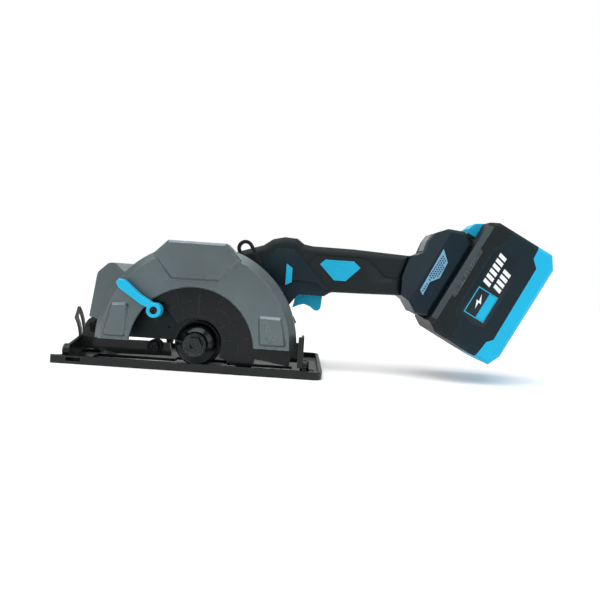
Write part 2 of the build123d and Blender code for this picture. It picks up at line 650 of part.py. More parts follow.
def housing_screws():
    """Screws that close the handle halves, from the far side."""
    screws = []
    for x, z, half_width in HOUSING_SCREWS:
        head_y = HANDLE_Y + half_width - SCREW_SUNK
        screw = machine_screw(x, z, SCREW_HEAD_R, SCREW_R, -head_y, 1.6, head_y - HANDLE_Y - 3)
        screws.append(from_far_side(screw))
    return screws


def screw_holes():
    """Counterbored holes for the housing screws."""
    holes = Part()
    for x, z, half_width in HOUSING_SCREWS:
        outside = HANDLE_Y + half_width
        holes += disc(x, z, SCREW_HEAD_R, outside - SCREW_SUNK - 1.6, outside + 5)
        holes += disc(x, z, SCREW_R, HANDLE_Y, outside)
    return holes


def depth_stud():
    """Bolt from the guard's back wall through the depth arc."""
    return slab(STUD_POINT * Circle(4), GUARD_BACK[0] + 0.1, 28.0) + slab(
        STUD_POINT * Circle(6.5), GUARD_BACK[1], ARC_Y[0] - 0.5)


def depth_lever():
    """Clamp lever on the depth stud, behind the arc."""
    x, z = polar(ARC_R, STUD_ANGLE, (DEPTH_X, DEPTH_Z))
    arm = outline([(x - 2, z + 6), (x + 26, z + 17), (x + 29, z + 11), (x + 3, z - 5)])
    lever = slab(Pos(x, z) * Circle(8) + arm, ARC_Y[1] + 3.4, ARC_Y[1] + 7.4)
    lever += disc(x, z, 7, ARC_Y[1] + 0.4, ARC_Y[1] + 3.4)
    return lever - disc(x, z, 4 + RUN, 19, 30)


# ---------------------------------------------------------------- turning pieces
def spindle():
    """Spindle with its lock collar and its threaded front end."""
    shaft = disc(0, 0, SPINDLE_R - 0.02, 4.6, 29.0) + disc(0, 0, 4.98, 29.0, 35.4)
    collar = disc(0, 0, 10, 27.0, 29.8) - disc(0, 0, 5, 26, 31)
    for step in range(6):
        x, z = polar(10.5, 60 * step)
        collar -= disc(x, z, 4.1, 26, 31)
    return shaft + collar - disc(0, 0, 4.0, 4, 14)


def inner_flange():
    """Inner blade flange with the pilot that centres the blade."""
    flange = disc(0, 0, FLANGE_R, BLADE_GAP, 4.6)
    flange = chamfer(flange.faces().sort_by(Axis.Y)[-1].edges(), 1.0)
    flange += disc(0, 0, PILOT_R, -BLADE_GAP, BLADE_GAP)
    return flange - disc(0, 0, 4.2, -2, 6)


def spindle_gear():
    """Driven gear on the spindle."""
    return slab(gear(GEAR_TEETH, 90) - Circle(SPINDLE_R - 0.02), *GEAR_Y)


def outer_flange():
    """Dished outer blade flange."""
    profile = outline([(4.2, -BLADE_GAP), (18, -BLADE_GAP), (18, -2.6), (17.4, -3.8), (16.2, -4.9),
                       (11.4, -8.6), (10.2, -10.4), (10, -13), (4.2, -13)])
    return revolve(profile, Axis.Y)


def blade_bolt():
    """Left-handed bolt that holds the blade, with a socket in its hexagon."""
    hexagon = RegularPolygon(7.5, 6)
    head = slab(hexagon, -20, -14.4) + disc(0, 0, 9, -14.4, -13)
    head -= slab(RegularPolygon(3.5, 6), -21, -16.5)
    return head + disc(0, 0, 3.98, -13, 13)


def motor_shaft():
    """Motor shaft with the pinion cut on its end."""
    pinion = slab(gear(PINION_TEETH, -90 + 180 / PINION_TEETH), GEAR_Y[0] - 0.5, GEAR_Y[1] + 0.5)
    turned = pinion + disc(0, 0, 3.98, GEAR_Y[1] + 0.5, 101.3)
    return Pos(0, 0, CENTRES) * turned


def rotor_core():
    """Rotor with its magnets."""
    return ring(0, CENTRES, 3.98, 16.6, 50, 80)


def cooling_fan():
    """Fan on the far end of the shaft."""
    hub = Circle(8) - Circle(3.98)
    blade = outline([(7, -0.8), (26, -3.2), (26, -1.6), (7, 0.8)])
    fan = slab(Pos(0, CENTRES) * (Circle(27) - Circle(3.98)), 93.0, 94.5)
    fan += slab(Pos(0, CENTRES) * hub, 87.5, 93.0)
    for step in range(11):
        fan += slab(Pos(0, CENTRES) * (Rot(0, 0, 360 / 11 * step) * blade), 87.5, 93.0)
    return fan


# ---------------------------------------------------------------- lower guard
def swing_guard():
    """Lower guard: two walls joined by a rim, turning on the gear case boss."""
    start, end = SWING_OPEN
    wall = sector(24, SWING_R, start, end) + sector(24, 54, -24, start)
    far = sector(18, SWING_R, start, end) + Circle(21.5) - Circle(GUARD_BOSS_R + RUN)
    far += sector(18, 54, -18, start)
    shell = slab(wall, *SWING_NEAR) + slab(far, *SWING_FAR)
    shell += slab(sector(SWING_R - SWING_WALL, SWING_R, start, end), SWING_NEAR[0], SWING_FAR[1])
    shell += slab(sector(24, 26.5, -24, end), SWING_NEAR[0] - 0.8, SWING_NEAR[0])
    shell += slab(sector(40, 53, end - 2, 152), *SWING_NEAR)
    for radius in (38, 66):
        shell += slab(sector(radius, radius + 1.2, start, end), SWING_NEAR[0] - 0.6, SWING_NEAR[0])
    for step in range(5):
        angle = 10 + 26 * step
        shell += slab(sector(26, 66, angle - 0.6, angle + 0.6), SWING_NEAR[0] - 0.6, SWING_NEAR[0])
    shell &= block(-100, 100, -20, 20, SOLE_Z + 1.5, 100)
    x, z = LEVER_HUB
    return shell + disc(x, z, 3.2, -14.8, SWING_NEAR[0]) - disc(x, z, 1.6, -16, 0)


def guard_lever():
    """Retracting lever outside the upper guard."""
    x, z = LEVER_HUB
    arm = outline([(x, z), (x - 1, z + 6), (-48, 41.5), (-62, 53.2), (-66.8, 54.2), (-69, 51),
                   (-66.5, 46.5), (-46, 33)])
    notches = Sketch()
    for step in range(4):
        notches += Pos(-46.5 - 4.4 * step, 42.8 + 3.6 * step) * Circle(0.9)
    hub = Pos(x, z) * Circle(6.4)
    lever = slab(hub + arm, -25.0, -15.0)
    lever = chamfer(lever.faces().sort_by(Axis.Y)[0].edges(), 0.6) - slab(notches, -26, -14)
    lever -= slab(arm - hub, GUARD_NEAR - PANEL_PROUD - 0.4, -14)      # clears the raised panels
    return lever - disc(x, z, 1.6, -26, -14) - disc(x, z, 3.4, -26, -23)


def lever_screw():
    """Cross-recess screw in the lever's hub."""
    return machine_screw(LEVER_HUB[0], LEVER_HUB[1], 3.3, 1.6, -25.0, 2.0, 13.0)


def spindle_lock():
    """Button whose pin stops the spindle for changing the blade."""
    pin = bar_x(LOCK_PIN_Y, 0, LOCK_PIN_R, -28, -12.2)
    return pin + bar_x(LOCK_PIN_Y, 0, 5.5, -33, -28)


# ---------------------------------------------------------------- battery
def pack_case(points, cavity, y_inset, top_bevel=None):
    """One layer of the battery case."""
    case = slope(points, *PACK_Y)
    if top_bevel:
        case = chamfer(side_edges(case, on_top), top_bevel)
    case = chamfer(side_edges(case, on_outside), 3.0)
    return case - slope(cavity, PACK_Y[0] + y_inset, PACK_Y[1] - y_inset)


def side_edges(case, wanted):
    """Edges of a battery case round its two flat sides, where wanted(u, w) holds at their middle."""
    cos, sin = math.cos(SLIDE_ANGLE), math.sin(SLIDE_ANGLE)
    found = []
    for face in case.faces().filter_by(Axis.Y):
        for edge in face.edges():
            middle = edge.center()
            if wanted(middle.X * cos + middle.Z * sin, middle.X * sin - middle.Z * cos):
                found.append(edge)
    return found


def on_top(u, w):
    """On the edge next to the foot."""
    return w < FACE_W + 1


def on_outside(u, w):
    """On the battery's outer outline, away from the layers' joints."""
    return w > 236.5 or on_top(u, w) or u > PACK_U[1] - 2.5 or u < PACK_U[0] + 3.1


def battery_top():
    """Upper battery case with the rail that slides into the foot."""
    low, high = PACK_U
    points = [(low, FACE_W + 10), (low + 6, FACE_W), (high - 4.3, FACE_W), (high, FACE_W + 8.1),
              (high, 192.5), (227.5, 192.5), (217.5, 186), (149.5, 186), (141, 195), (low, 195)]
    cavity = [(low + 5, FACE_W + 11), (low + 10, FACE_W + 3), (high - 7, FACE_W + 3),
              (high - 5, FACE_W + 10), (high - 5, 200), (low + 5, 200)]
    case = pack_case(points, cavity, 4.5, 5.0)
    rail = slope_block(low + 6, 218, RAIL_W[0], RAIL_W[1], HANDLE_Y - 17, HANDLE_Y + 17)
    rail += slope_block(low + 6, 218, RAIL_W[1], FACE_W, HANDLE_Y - 12, HANDLE_Y + 12)
    for offset_y in (-8, 0, 8):
        y = HANDLE_Y + offset_y
        rail -= slope_block(low, 156, RAIL_W[0] - 1, RAIL_W[1] - 0.4, y - 1.2, y + 1.2)
    pocket = slope_block(221.5, 238.5, FACE_W - 1, FACE_W + 11.5, HANDLE_Y - 13.5, HANDLE_Y + 13.5)
    return case + rail - pocket


def battery_mid():
    """Middle battery case round the cells."""
    low, high = PACK_U
    points = [(low, 195), (141, 195), (149.5, 186), (217.5, 186), (227.5, 192.5), (high, 192.5),
              (high, 220.5), (228, 221.5), (221.5, 228.5), (145, 229.5), (140, 225), (low, 223)]
    cavity = [(low + 5, 180), (high - 5, 180), (high - 5, 235), (low + 5, 235)]
    return pack_case(points, cavity, 4.5)


def battery_bottom():
    """Lower battery cap."""
    low, high = PACK_U
    points = [(low, 223), (140, 225), (145, 229.5), (221.5, 228.5), (228, 221.5), (high, 220.5),
              (high, 235.5), (229, 243.5), (135, 243.5), (low, 238)]
    cavity = [(low + 5, 215), (high - 5, 215), (high - 5, 234), (226, 239.5), (137, 239.5), (low + 5, 235)]
    return pack_case(points, cavity, 4.5)


def battery_cells():
    """Fifteen cells, five by three, lying across the saw."""
    cells = []
    for row in range(5):
        for column in range(3):
            x, z = uw(143.5 + 19.1 * row, 191 + 19.1 * column)
            cells.append(disc(x, z, 9.2, HANDLE_Y - 32.5, HANDLE_Y + 32.5))
    return cells


def battery_board():
    """Battery management board over the cells."""
    return slope_block(136, 218, FACE_W + 4, FACE_W + 6, HANDLE_Y - 28, HANDLE_Y + 28)


def battery_label(side):
    """Blank label on the side of the battery."""
    points = [(156, 192.5), (212, 192.5), (218, 197), (218, 221), (212, 224), (156, 224)]
    if side < 0:
        return slope(points, PACK_Y[0] - 0.4, PACK_Y[0])
    return slope(points, PACK_Y[1], PACK_Y[1] + 0.4)


def battery_screws():
    """Screws under the battery's lower cap."""
    cos, sin = math.cos(SLIDE_ANGLE), math.sin(SLIDE_ANGLE)
    heads = []
    for u in (141, 223):
        for y in (PACK_Y[0] + 10, PACK_Y[1] - 10):
            x, z = uw(u, 243.5)
            plane = Plane(origin=(x, y, z), z_dir=(sin, 0, -cos))
            heads.append(extrude(plane * (Circle(3) - RegularPolygon(1.4, 6)), 1.0))
    return heads


def battery_latch():
    """Release button at the upper end of the battery."""
    points = [(222, 178), (238, 178), (238, 172), (233, 164), (226, 161.5), (222, 163)]
    return slope(points, HANDLE_Y - 13, HANDLE_Y + 13)


# ---------------------------------------------------------------- shared places
GUARD_SCREWS = [(-28, 12), (28, 12), (-18, 38), (18, 38)]
STUD_POINT = Pos(*polar(ARC_R, STUD_ANGLE, (DEPTH_X, DEPTH_Z)))
LEVER_HUB = polar(45.4, 140.6)
HOUSING_SCREWS = [(58, 66, HANDLE_HALF), (72, 90, HANDLE_HALF), (120, 89, HANDLE_HALF),
                  (176, 84, HANDLE_HALF), (150, 61.5, HANDLE_HALF), (196, 84, FOOT_HALF)]
SCREW_HEAD_R = 2.6
SCREW_R = 1.5
SCREW_SUNK = 1.2          # screw heads below the handle's surface
RAIL_W = (157.0, 163.5)   # head of the battery rail, across the slope


def assemble(pieces):
    """Several loose solids in one node."""
    return Compound(children=list(pieces))


def main():
    """Write every node."""
    single = {
        "base_plate": base_plate, "bevel_quadrant": bevel_quadrant, "base_rear_bracket": base_rear_bracket,
        "fence_saddle": fence_saddle, "fence_screw": fence_screw,
        "tilt_front_bracket": tilt_front_bracket, "tilt_rear_bracket": tilt_rear_bracket,
        "depth_arc": depth_arc, "bevel_stud": bevel_stud, "bevel_knob": bevel_knob,
        "upper_guard": upper_guard, "dust_chute": dust_chute, "gear_housing": gear_housing,
        "motor_housing": motor_housing, "motor_end_cap": motor_end_cap,
        "stator": stator, "control_panel": control_panel, "trigger": trigger,
        "lock_off_button": lock_off_button, "switch_module": switch_module,
        "controller_board": controller_board, "terminal_block": terminal_block,
        "depth_stud": depth_stud, "depth_lever": depth_lever, "spindle": spindle,
        "inner_flange": inner_flange, "spindle_gear": spindle_gear, "outer_flange": outer_flange,
        "blade_bolt": blade_bolt, "motor_shaft": motor_shaft, "rotor_core": rotor_core,
        "cooling_fan": cooling_fan, "swing_guard": swing_guard, "guard_lever": guard_lever,
        "lever_screw": lever_screw, "spindle_lock": spindle_lock, "battery_top": battery_top,
        "battery_mid": battery_mid, "battery_bottom": battery_bottom, "battery_board": battery_board,
        "battery_latch": battery_latch,
    }
    several = {
        "base_rivets": base_rivets, "bevel_pins": bevel_pins, "guard_screws": guard_screws,
        "bumper": bumper, "tilt_screws": tilt_screws,
        "bearings": bearings, "windings": windings, "housing_screws": housing_screws,
        "battery_cells": battery_cells, "battery_screws": battery_screws,
    }
    paired = {"handle": handle_half, "foot": foot_half}
    alike = {"side_panels": side_panel, "badges": badge, "foot_mesh": foot_mesh,
             "battery_labels": battery_label}
    for name, make in single.items():
        save(name, make())
    for name, make in several.items():
        save(name, assemble(make()))
    for name, make in paired.items():
        save(f"{name}_left", make(-1))
        save(f"{name}_right", make(1))
    for name, make in alike.items():
        save(name, assemble([make(-1), make(1)]))


main()
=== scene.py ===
"""Looks of the cordless circular saw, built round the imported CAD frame, in metres."""

import json
import math

import bmesh
import bpy
from mathutils import Matrix, Vector


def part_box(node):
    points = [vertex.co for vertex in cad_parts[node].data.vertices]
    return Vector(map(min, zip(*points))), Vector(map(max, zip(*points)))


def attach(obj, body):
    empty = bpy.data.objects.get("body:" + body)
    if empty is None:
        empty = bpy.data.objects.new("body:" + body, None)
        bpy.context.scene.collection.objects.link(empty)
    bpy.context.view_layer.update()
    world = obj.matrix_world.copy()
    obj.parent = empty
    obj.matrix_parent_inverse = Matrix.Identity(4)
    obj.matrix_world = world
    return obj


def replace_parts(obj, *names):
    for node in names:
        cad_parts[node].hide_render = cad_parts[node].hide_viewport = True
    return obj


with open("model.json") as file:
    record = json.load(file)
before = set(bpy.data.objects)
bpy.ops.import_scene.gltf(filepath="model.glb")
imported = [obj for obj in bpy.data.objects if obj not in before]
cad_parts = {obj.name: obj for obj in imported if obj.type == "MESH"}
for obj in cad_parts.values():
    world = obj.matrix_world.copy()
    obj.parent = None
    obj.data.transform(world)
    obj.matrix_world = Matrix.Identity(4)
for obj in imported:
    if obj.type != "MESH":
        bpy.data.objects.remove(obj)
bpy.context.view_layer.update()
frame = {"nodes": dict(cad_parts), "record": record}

MM = 0.001
SLIDE = math.radians(62)          # slope of the battery's rail
HANDLE_MIDDLE = 48.0              # Y of the handle's split plane, in millimetres
GRIP_PROUD = 0.4                  # how far the grip's skin stands out, in millimetres
SHELL_BACK = 13.0                 # where the neck's shells end, from the split plane
PRINT_PROUD = 0.1                 # depth of printed marks under their face
PANEL_ROUND = 0.3                 # rounding between the neck's facets, in millimetres
FILM_PROUD = 0.35                 # how far the battery's label film stands out, in millimetres
INK_PROUD = 0.5                   # the same for what is printed on it
SHARP = math.radians(30)          # edges sharper than this stay sharp
GUARD_WALLS = (-0.0099, 0.0105)   # Y between which the upper guard's inner faces lie, which get painted shade, in metres
GUARD_REACH = 0.0871              # how far they reach from the spindle, in metres; the painted shade stops there
WEAR_RADIUS = 0.0006              # width of worn edges, in metres
WEAR_BAND = (0.995, 0.9)          # cosine to the face's normal, from an edge's start to its middle
GLOSS_DRIFT = 0.10                # how far the roughness wanders
DRIFT_SCALE, SMUDGE_SCALE, WEAR_SCALE = 22, 45, 260
MIDRANGE = (0.3, 0.7)             # the part of a noise's range in which most of it lies
WORLD_LIGHT = 0.42                # brightness of the studio around the object
scene = bpy.context.scene


# ---------------------------------------------------------------- node helpers
def linear(rgb):
    """Scene-linear colour of an sRGB colour given as 0 to 255."""
    out = []
    for value in rgb:
        c = value / 255
        out.append(c / 12.92 if c <= 0.04045 else ((c + 0.055) / 1.055) ** 2.4)
    return (*out, 1.0)


class Surface:
    """A procedural material whose textures follow each object's own coordinates."""

    def __init__(self, name, rough, metal=0.0, specular=0.5, coat=0.0, coat_rough=0.1):
        self.material = bpy.data.materials.new(name)
        self.material.use_nodes = True
        self.tree = self.material.node_tree
        self.shader = self.tree.nodes["Principled BSDF"]
        self.set(self.shader, "Roughness", rough)
        self.set(self.shader, "Metallic", metal)
        self.set(self.shader, "Specular IOR Level", specular)
        self.set(self.shader, "Coat Weight", coat)
        self.set(self.shader, "Coat Roughness", coat_rough)
        self.place = self.node("ShaderNodeTexCoord").outputs["Object"]

    def node(self, kind, **settings):
        node = self.tree.nodes.new(kind)
        for key, value in settings.items():
            setattr(node, key, value)
        return node

    def set(self, node, socket, value):
        if isinstance(value, bpy.types.NodeSocket):
            self.tree.links.new(value, node.inputs[socket])
        else:
            node.inputs[socket].default_value = value

    def noise(self, scale, detail=3.0, rough=0.5, stretch=None):
        node = self.node("ShaderNodeTexNoise")
        self.set(node, "Scale", scale)
        self.set(node, "Detail", detail)
        self.set(node, "Roughness", rough)
        self.set(node, "Vector", self.scaled(stretch) if stretch else self.place)
        return node.outputs["Fac"]

    def scaled(self, stretch):
        node = self.node("ShaderNodeMapping")
        self.set(node, "Vector", self.place)
        self.set(node, "Scale", stretch)
        return node.outputs["Vector"]

    def math(self, operation, a, b=0.0):
        node = self.node("ShaderNodeMath", operation=operation)
        self.set(node, 0, a)
        self.set(node, 1, b)
        return node.outputs[0]

    def span(self, value, low, high, to_low=0.0, to_high=1.0):
        node = self.node("ShaderNodeMapRange")
        for socket, number in zip(range(5), (value, low, high, to_low, to_high)):
            self.set(node, socket, number)
        return node.outputs[0]

    def mix(self, factor, a, b):
        node = self.node("ShaderNodeMix", data_type="RGBA")
        self.set(node, 0, factor)
        self.set(node, 6, a)
        self.set(node, 7, b)
        return node.outputs[2]

    def along(self, direction):
        """Distance along a direction, in metres, in the object's own coordinates."""
        node = self.node("ShaderNodeVectorMath", operation="DOT_PRODUCT")
        self.set(node, 0, self.place)
        self.set(node, 1, direction)
        return node.outputs["Value"]

    def edges(self, radius):
        """Mask of the convex and concave edges, from a rounded normal against the flat one."""
        rounded = self.node("ShaderNodeBevel", samples=4)
        self.set(rounded, "Radius", radius)
        flat = self.node("ShaderNodeNewGeometry").outputs["Normal"]
        dot = self.node("ShaderNodeVectorMath", operation="DOT_PRODUCT")
        self.set(dot, 0, rounded.outputs["Normal"])
        self.set(dot, 1, flat)
        return self.span(dot.outputs["Value"], *WEAR_BAND)

    def bump(self, height, strength, distance, under=None):
        node = self.node("ShaderNodeBump")
        self.set(node, "Strength", strength)
        self.set(node, "Distance", distance)
        self.set(node, "Height", height)
        if under is not None:
            self.set(node, "Normal", under)
        self.set(self.shader, "Normal", node.outputs["Normal"])
        return node.outputs["Normal"]


def shade(color, factor):
    """A colour made darker or lighter."""
    return tuple(min(1.0, c * factor) for c in color[:3]) + (1.0,)


def coated(name, rgb, rough=0.5, grain=1600, height=0.00012, strength=0.35, metal=0.0, specular=0.2,
           coat=0.0, vary=0.10, wear=None, fleck=0.0, pattern=None, stretch=None, painted_shade=None):
    """Painted, moulded or machined finish with grain, colour drift, edge wear and uneven gloss, with
    painted shade in a pattern's grooves and on chosen inner faces where asked.
    """
    s = Surface(name, rough, metal, specular, coat)
    base = linear(rgb)
    drift = s.span(s.noise(DRIFT_SCALE, 4.0, 0.6), *MIDRANGE)
    color = s.mix(drift, shade(base, 1 - vary), shade(base, 1 + vary))
    fine = s.noise(grain, 2.0, 0.6, stretch)
    if fleck:
        spots = s.span(fine, 0.58, 0.72)
        color = s.mix(s.math("MULTIPLY", spots, fleck), color, shade(base, 1.8))
    if pattern:
        raised = pattern(s)
        # Painted shade: the grooves between the raised triangles are darker, 0.86 as bright.
        color = s.mix(raised, shade(base, 0.86), color)
    if wear:
        worn = s.span(s.noise(WEAR_SCALE, 5.0, 0.7), 0.42, 0.62)
        amount = s.math("MULTIPLY", s.edges(WEAR_RADIUS), worn)
        color = s.mix(s.math("MULTIPLY", amount, wear[1]), color, linear(wear[0]))
    # Painted shade: the masked faces are mixed to a dark colour.
    if painted_shade:
        color = s.mix(painted_shade[0](s), color, linear(painted_shade[1]))
    s.set(s.shader, "Base Color", color)
    smudge = s.noise(SMUDGE_SCALE, 5.0, 0.65)
    smooth, dull = max(0.03, rough - GLOSS_DRIFT), rough + GLOSS_DRIFT
    s.set(s.shader, "Roughness", s.span(smudge, *MIDRANGE, smooth, dull))
    relief = s.bump(fine, strength, height)
    if pattern:
        s.bump(raised, 0.6, 0.0004, relief)
    return s


def triangles(pitch):
    """Pattern of small raised triangles in the X-Z plane."""
    def make(s):
        lines = None
        for turn in (0, 60, 120):
            angle = math.radians(turn)
            reach = s.along((math.cos(angle), 0, math.sin(angle)))
            wave = s.math("PINGPONG", reach, pitch / 2)
            edge = s.span(wave, 0.04 * pitch, 0.12 * pitch)
            lines = edge if lines is None else s.math("MULTIPLY", lines, edge)
        return lines
    return make


def guard_inside_shade(s):
    """Mask of the upper guard's inner faces, round the blade's place, which get painted shade."""
    reach = s.node("ShaderNodeVectorMath", operation="LENGTH")
    s.set(reach, 0, s.scaled((1, 0, 1)))
    across = s.along((0, 1, 0))
    near, far = GUARD_WALLS
    within = s.math("MULTIPLY", s.math("GREATER_THAN", across, near), s.math("LESS_THAN", across, far))
    return s.math("MULTIPLY", within, s.math("LESS_THAN", reach.outputs["Value"], GUARD_REACH))


# ---------------------------------------------------------------- finishes
BLUE = (24, 172, 214)
NAVY = (14, 33, 42)
FINISH = {
    "cast_grey": coated("cast_grey", (92, 103, 105), 0.38, 1100, 0.00010, 0.28, metal=0.7, vary=0.07,
                        wear=((196, 204, 206), 0.6), fleck=0.22),
    # The upper guard's inner faces get painted shade, dark grey (34, 41, 42).
    "cast_guard": coated("cast_guard", (98, 109, 111), 0.38, 1100, 0.00010, 0.28, metal=0.7, vary=0.07,
                         wear=((196, 204, 206), 0.6), fleck=0.22, painted_shade=(guard_inside_shade, (34, 41, 42))),
    "cast_black": coated("cast_black", (10, 14, 15), 0.40, 900, 0.00012, 0.3, metal=0.3,
                         wear=((120, 125, 127), 0.5)),
    "shoe_steel": coated("shoe_steel", (12, 17, 18), 0.42, 700, 0.00006, 0.25, metal=0.1, vary=0.15,
                         wear=((110, 118, 120), 0.4), stretch=(0.25, 1.0, 1.0), coat=0.3),
    "zinc_steel": coated("zinc_steel", (178, 182, 184), 0.28, 1500, 0.00004, 0.25, metal=1.0, vary=0.12,
                         wear=((225, 226, 228), 0.4)),
    "black_steel": coated("black_steel", (11, 15, 16), 0.34, 900, 0.00006, 0.3, metal=0.6, vary=0.15,
                          wear=((130, 136, 138), 0.6)),
    "flange_steel": coated("flange_steel", (30, 36, 37), 0.26, 700, 0.00004, 0.25, metal=0.9, vary=0.2,
                           wear=((150, 156, 158), 0.6), coat=0.3),
    "bearing_steel": coated("bearing_steel", (190, 192, 194), 0.2, 1500, 0.00002, 0.2, metal=1.0),
    "lamination_steel": coated("lamination_steel", (105, 104, 102), 0.5, 2000, 0.00008, 0.5, metal=0.9,
                               stretch=(0.1, 3.0, 0.1)),
    "copper": coated("copper", (176, 96, 52), 0.3, 900, 0.0003, 0.6, metal=1.0, stretch=(1, 0.3, 1)),
    "black_plastic": coated("black_plastic", (17, 22, 23), 0.5, 1400, 0.00010, 0.4,
                            wear=((90, 96, 98), 0.3)),
    "grip_rubber": coated("grip_rubber", (22, 30, 32), 0.6, 1900, 0.00014, 0.55, vary=0.08,
                          wear=((70, 78, 79), 0.35)),
    "navy_plastic": coated("navy_plastic", NAVY, 0.46, 1500, 0.00010, 0.4, vary=0.08,
                           wear=((76, 98, 110), 0.4)),
    "blue_plastic": coated("blue_plastic", BLUE, 0.42, 1500, 0.00007, 0.3, vary=0.04,
                           wear=((140, 222, 244), 0.35)),
    "blue_textured": coated("blue_textured", BLUE, 0.45, 1500, 0.00007, 0.3, vary=0.04,
                            wear=((140, 222, 244), 0.3), pattern=triangles(0.0021)),
    "mesh_plastic": coated("mesh_plastic", (108, 156, 186), 0.45, 1500, 0.00008, 0.3, vary=0.06,
                           wear=((190, 215, 230), 0.3)),
    "smoke_plastic": coated("smoke_plastic", (10, 16, 18), 0.24, 500, 0.00010, 0.25, vary=0.25, coat=0.08,
                            wear=((92, 104, 107), 0.45)),
    "buffer_rubber": coated("buffer_rubber", (20, 23, 23), 0.7, 1600, 0.00014, 0.5),
    "grey_plastic": coated("grey_plastic", (128, 136, 138), 0.45, 1500, 0.00010, 0.35,
                           wear=((190, 196, 198), 0.4)),
    "board_green": coated("board_green", (20, 84, 52), 0.35, 900, 0.00015, 0.4, coat=0.4),
    "cell_steel": coated("cell_steel", (46, 120, 92), 0.3, 800, 0.00004, 0.2, coat=0.3),
    "battery_black": coated("battery_black", (15, 34, 42), 0.5, 1300, 0.00012, 0.45, vary=0.08,
                            wear=((92, 110, 118), 0.35)),
    "battery_charcoal": coated("battery_charcoal", (20, 28, 30), 0.55, 1500, 0.00013, 0.5, vary=0.07,
                               wear=((92, 98, 98), 0.35)),
    "grey_rib": coated("grey_rib", (54, 64, 67), 0.5, 1500, 0.00010, 0.35, wear=((150, 160, 164), 0.5)),
    # Black for the handle's seams, and as painted shade behind the vent's holes.
    "seam_and_shade_black": coated("seam_and_shade_black", (8, 11, 12), 0.6, 1500, 0.00010, 0.3),
    "label_film": coated("label_film", (12, 28, 36), 0.38, 1800, 0.00003, 0.2, vary=0.05, coat=0.2),
    "print_white": coated("print_white", (228, 234, 236), 0.45, 1800, 0.00003, 0.2, vary=0.03),
}
NODE_FINISH = {
    "outer_flange": "flange_steel", "blade_bolt": "flange_steel", "trigger": "blue_textured",
    "upper_guard": "cast_guard", "bevel_pins": "black_steel", "inner_flange": "black_steel",
    "guard_screws": "black_steel", "base_rivets": "black_steel",
    "badges": "blue_textured", "battery_mid": "battery_black", "battery_top": "battery_charcoal",
}
for row in frame["record"]["subparts"]:
    NODE_FINISH.setdefault(row["node"], row["material_slot"])


def paint(piece, finish):
    """Gives a new piece one finish all over."""
    piece.data.materials.clear()
    piece.data.materials.append(FINISH[finish].material)


for name, piece in frame["nodes"].items():
    for part_slot in piece.material_slots:
        part_slot.material = FINISH[NODE_FINISH[name]].material


# ---------------------------------------------------------------- mesh helpers
def on_slope(u, w):
    """X and Z, in millimetres, of a point along and across the battery's slope."""
    return (u * math.cos(SLIDE) + w * math.sin(SLIDE), u * math.sin(SLIDE) - w * math.cos(SLIDE))


def slope_shape(points):
    """A shape across the battery's side, from points along and across its slope."""
    return [on_slope(u, w) for u, w in points]


def mesh_object(name, bm):
    """A new object in the scene from a bmesh, which is freed."""
    mesh = bpy.data.meshes.new(name)
    bm.to_mesh(mesh)
    bm.free()
    made = bpy.data.objects.new(name, mesh)
    scene.collection.objects.link(made)
    return made


def add_piece(name, bm, finish, body):
    """A smooth-shaded piece from a bmesh, with its finish and the body it rides on."""
    bmesh.ops.recalc_face_normals(bm, faces=bm.faces)
    piece = mesh_object(name, bm)
    for polygon in piece.data.polygons:
        polygon.use_smooth = True
    piece.data.set_sharp_from_angle(angle=SHARP)
    paint(piece, finish)
    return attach(piece, body)


def round_edges(bm, edges, offset):
    """Rounds edges by an offset in millimetres."""
    bmesh.ops.bevel(bm, geom=edges, offset=offset * MM, segments=2, affect="EDGES", profile=0.6)


def prism(bm, points, near, far, bevel=0.0):
    """A flat shape in X and Z, in millimetres, from its bevelled near side to its far side."""
    front = [bm.verts.new((x * MM, near * MM, z * MM)) for x, z in points]
    back = [bm.verts.new((x * MM, far * MM, z * MM)) for x, z in points]
    face = bm.faces.new(front)
    bm.faces.new(list(reversed(back)))
    for index in range(len(points)):
        after = (index + 1) % len(points)
        bm.faces.new((front[index], back[index], back[after], front[after]))
    if bevel:
        round_edges(bm, list(face.edges), bevel)


def tube(bm, points, near, far, width):
    """A closed outline drawn as a line of this width, which a minus sign puts on its other side."""
    count = len(points)
    inner = []
    for index in range(count):
        a, b, c = (Vector(points[(index + k) % count]) for k in (-1, 0, 1))
        before = Vector((-(b - a).y, (b - a).x)).normalized()
        after = Vector((-(c - b).y, (c - b).x)).normalized()
        middle = (before + after).normalized()
        inner.append(b + middle * (width / max(0.3, middle.dot(before))))
    for index in range(count):
        after = (index + 1) % count
        prism(bm, [points[index], points[after], inner[after], inner[index]], near, far)


def faceted(name, points, faces, side, finish, body):
    """A closed shell from facets whose corners are (x, distance from the split plane, z)."""
    back = (HANDLE_MIDDLE + side * SHELL_BACK) * MM
    bm = bmesh.new()
    corners = {key: bm.verts.new((x * MM, (HANDLE_MIDDLE + side * out) * MM, z * MM))
               for key, (x, out, z) in points.items()}
    for face in faces:
        bm.faces.new([corners[k] for k in face])
    rim = [edge for edge in bm.edges if edge.is_boundary]
    made = bmesh.ops.extrude_edge_only(bm, edges=rim)["geom"]
    for vertex in made:
        if isinstance(vertex, bmesh.types.BMVert):
            vertex.co.y = back
    bmesh.ops.holes_fill(bm, edges=[edge for edge in bm.edges if edge.is_boundary])
    bmesh.ops.recalc_face_normals(bm, faces=bm.faces)
    sharp = [edge for edge in bm.edges if all(abs(v.co.y - back) > 1e-6 for v in edge.verts)]
    round_edges(bm, sharp, PANEL_ROUND)
    return add_piece(name, bm, finish, body)


